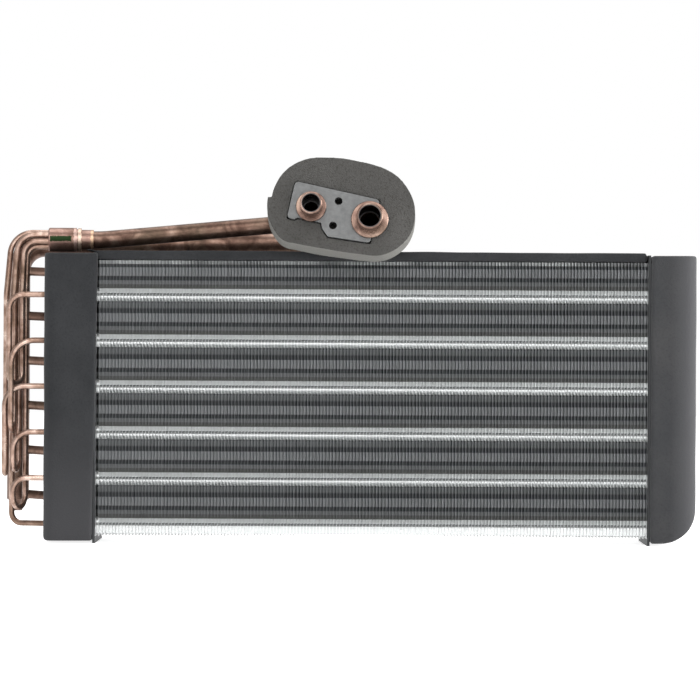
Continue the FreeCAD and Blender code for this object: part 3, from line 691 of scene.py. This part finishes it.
def buildCollars(name, column):  # the collars of one row of tubes, butted end to end
    points = []
    faces = []
    sides = coil["sides"]
    y = coil["columns"][column]
    for level in range(coil["rows"]):
        z = coil["firstTube"] + level * coil["rowPitch"] + (column % 2) * coil["rowPitch"] / 2
        first = len(points)
        for x in (finLow.x, finHigh.x):
            for k in range(sides):
                turn = 2 * math.pi * k / sides
                spot = place(0, y + coil["collarRadius"] * math.cos(turn),
                             z + coil["collarRadius"] * math.sin(turn))
                points.append((x, spot.y, spot.z))
        for k in range(sides):
            j = (k + 1) % sides
            faces.append((first + k, first + j, first + sides + j, first + sides + k))
    obj = meshObject(name, points, faces, smooth=True)
    fitOut(obj, collarMetal, ["fin_pack"])


buildFins()
for column, name in enumerate(("frontCollars", "secondCollars", "thirdCollars", "backCollars")):
    buildCollars(name, column)
print("collars ready")

# Foam pieces

foamSpec = {  # voxel, dent and dentSize in millimetres
    "left_foam_cover": {"voxel": 1.3, "rounds": 2, "dent": 0.25, "dentSize": 28.0, "fill": 0.9},
    "right_foam_cover": {"voxel": 1.3, "rounds": 2, "dent": 0.25, "dentSize": 28.0, "fill": 0.9},
    "top_foam_strip": {"voxel": 1.5, "rounds": 2, "dent": 0.3, "dentSize": 22.0, "fill": 0.9},
    "port_gasket": {"voxel": 0.46, "rounds": 2, "dent": 0.3, "dentSize": 12.0, "fill": 0.8},
}
foamSkin = {
    "relax": 0.6,  # how much each round softens the corners
    "sink": 1.6,  # keeps the dents mostly inwards
}


def softFoam(node, name, material):
    spec = foamSpec[node]
    obj = bpy.data.objects.new(name, nodes[node].data.copy())
    bpy.context.scene.collection.objects.link(obj)
    remesh = obj.modifiers.new("cells", "REMESH")
    remesh.mode = "VOXEL"
    remesh.voxel_size = spec["voxel"] * millimetre
    relax = obj.modifiers.new("relax", "SMOOTH")
    relax.factor = foamSkin["relax"]
    relax.iterations = spec["rounds"]
    applyModifiers(obj)
    size = spec["dentSize"] * millimetre
    half = spec["dent"] * millimetre / 2
    moved = []
    for vertex in obj.data.vertices:
        push = half * (2 * noise.noise(vertex.co / size) - foamSkin["sink"])
        moved.extend(vertex.co + vertex.normal * push)
    obj.data.vertices.foreach_set("co", moved)
    obj.data.update()
    obj.data.shade_smooth()
    fitOut(obj, material, [node])
    print(name, len(obj.data.polygons), "faces")


softFoam("left_foam_cover", "leftFoamCap", darkFoam)
softFoam("right_foam_cover", "rightFoamCap", paintedLitFoam)
softFoam("top_foam_strip", "topFoamStrip", darkFoam)
softFoam("port_gasket", "portFoamRing", greyFoam)

# Metal that keeps its solid

keptFinish = {
    "left_end_plate": sheetMetal,
    "right_end_plate": sheetMetal,
    "distributor": copperBody,
    "liquid_line": copperLine,
    "suction_header": copperLine,
    "suction_line": copperLine,
    "liquid_port": copperPort,
    "suction_port": copperPort,
    "port_block": blockMetal,
}
for i in range(1, coil["rows"] + 1):
    keptFinish[f"front_hairpin_{i}"] = copperFeeder
    keptFinish[f"rear_hairpin_{i}"] = copperFeeder
    keptFinish[f"return_bend_{i}"] = copperFeeder
    keptFinish[f"feeder_{i}"] = copperFeeder
    keptFinish[f"suction_stub_{i}"] = copperLine
for node, material in keptFinish.items():
    for slot in nodes[node].material_slots:
        slot.material = material
print("kept nodes finished:", len(keptFinish))

# Stage, light and camera

stageSpec = {
    "floorHalf": 6.0,
    "floorTone": "f2f2f2",
    "seenLift": 0.8,  # the floor's own glow where it is seen or mirrored
    "bounceLift": 0.35,  # and in the light that it throws on the part
    "skyLight": 0.5,
    "mirroredSky": 0.55,
    "mirroredHorizon": 1.0,
    "horizonRise": 0.25,  # how far up the mirrored horizon fades into the sky
}


def buildStage():
    half = stageSpec["floorHalf"]
    corners = [(-half, -half, 0), (half, -half, 0), (half, half, 0), (-half, half, 0)]
    floor = meshObject("paleFloor", corners, [(0, 1, 2, 3)])
    material, tree = startMaterial("pale floor")
    rays = addNode(tree, "ShaderNodeLightPath")
    seen = addNode(tree, "ShaderNodeMath",
                   {0: rays.outputs["Is Camera Ray"], 1: rays.outputs["Is Glossy Ray"]},
                   operation="MAXIMUM")
    clear = addNode(tree, "ShaderNodeMath",
                    {0: seen.outputs[0], 1: rays.outputs["Is Transmission Ray"]},
                    operation="MAXIMUM")
    lift = addNode(tree, "ShaderNodeMapRange",
                   {"Value": clear.outputs[0], "To Min": stageSpec["bounceLift"],
                    "To Max": stageSpec["seenLift"]})
    shader = addNode(tree, "ShaderNodeBsdfPrincipled",
                     {"Base Color": fromHex(stageSpec["floorTone"]), "Roughness": 0.9,
                      "Specular IOR Level": 0.1, "Emission Color": (1.0, 1.0, 1.0, 1.0),
                      "Emission Strength": lift.outputs["Result"]})
    finishMaterial(tree, shader)
    floor.data.materials.append(material)

    world = bpy.data.worlds.new("studio")
    bpy.context.scene.world = world
    world.use_nodes = True
    tree = world.node_tree
    tree.nodes.clear()
    rays = addNode(tree, "ShaderNodeLightPath")
    clear = addNode(tree, "ShaderNodeMath",
                    {0: rays.outputs["Is Camera Ray"], 1: rays.outputs["Is Transmission Ray"]},
                    operation="MAXIMUM")
    heading = addNode(tree, "ShaderNodeTexCoord")
    rise = addNode(tree, "ShaderNodeSeparateXYZ", {"Vector": heading.outputs["Generated"]})
    mirrored = addNode(tree, "ShaderNodeMapRange",
                       {"Value": rise.outputs["Z"], "From Min": 0.0,
                        "From Max": stageSpec["horizonRise"],
                        "To Min": stageSpec["mirroredHorizon"],
                        "To Max": stageSpec["mirroredSky"]})
    lit = addNode(tree, "ShaderNodeMix",
                  {0: rays.outputs["Is Glossy Ray"], 2: stageSpec["skyLight"],
                   3: mirrored.outputs["Result"]}, data_type="FLOAT")
    strength = addNode(tree, "ShaderNodeMix",
                       {0: clear.outputs[0], 2: lit.outputs[0], 3: 1.0}, data_type="FLOAT")
    sky = addNode(tree, "ShaderNodeBackground",
                  {"Color": (1.0, 1.0, 1.0, 1.0), "Strength": strength.outputs[0]})
    addNode(tree, "ShaderNodeOutputWorld", {"Surface": sky.outputs[0]})


lampTarget = (0, 0, 90)  # the middle of the core
lampSpec = {
    "frontBox": {"at": (-60, -1700, 1000), "size": 1.2, "power": 15.0},
    "rightBox": {"at": (1300, -220, 450), "size": 0.7, "power": 16.0},
    "topBox": {"at": (0, 300, 1900), "size": 1.6, "power": 18.0},
}


def buildLamps():
    target = place(*lampTarget)
    for name, spec in lampSpec.items():
        lamp = bpy.data.lights.new(name, "AREA")
        lamp.size = spec["size"]
        lamp.energy = spec["power"]
        obj = bpy.data.objects.new(name, lamp)
        obj.location = place(*spec["at"])
        obj.rotation_euler = (target - obj.location).to_track_quat("-Z", "Y").to_euler()
        bpy.context.scene.collection.objects.link(obj)


cameraSpec = {  # millimetres and degrees
    "x": -12.1,
    "height": 107.4,
    "frontPlane": -44.0,
    "distance": 3000.0,
    "frameWidth": 386.54,  # across the picture at the front plane
    "roll": 0.315,
}


def buildCamera():
    data = bpy.data.cameras.new("photoCamera")
    data.sensor_width = 36.0
    data.lens = data.sensor_width * cameraSpec["distance"] / cameraSpec["frameWidth"]
    data.clip_end = 50.0
    obj = bpy.data.objects.new("photoCamera", data)
    turn = Matrix.Rotation(math.radians(90), 4, "X")
    turn = turn @ Matrix.Rotation(math.radians(cameraSpec["roll"]), 4, "Z")
    spot = place(cameraSpec["x"], cameraSpec["frontPlane"] - cameraSpec["distance"],
                 cameraSpec["height"])
    obj.matrix_world = Matrix.Translation(spot) @ turn
    bpy.context.scene.collection.objects.link(obj)
    bpy.context.scene.camera = obj


buildStage()
buildLamps()
buildCamera()
bpy.context.scene.view_settings.view_transform = "Standard"
print("stage, lamps and camera ready")
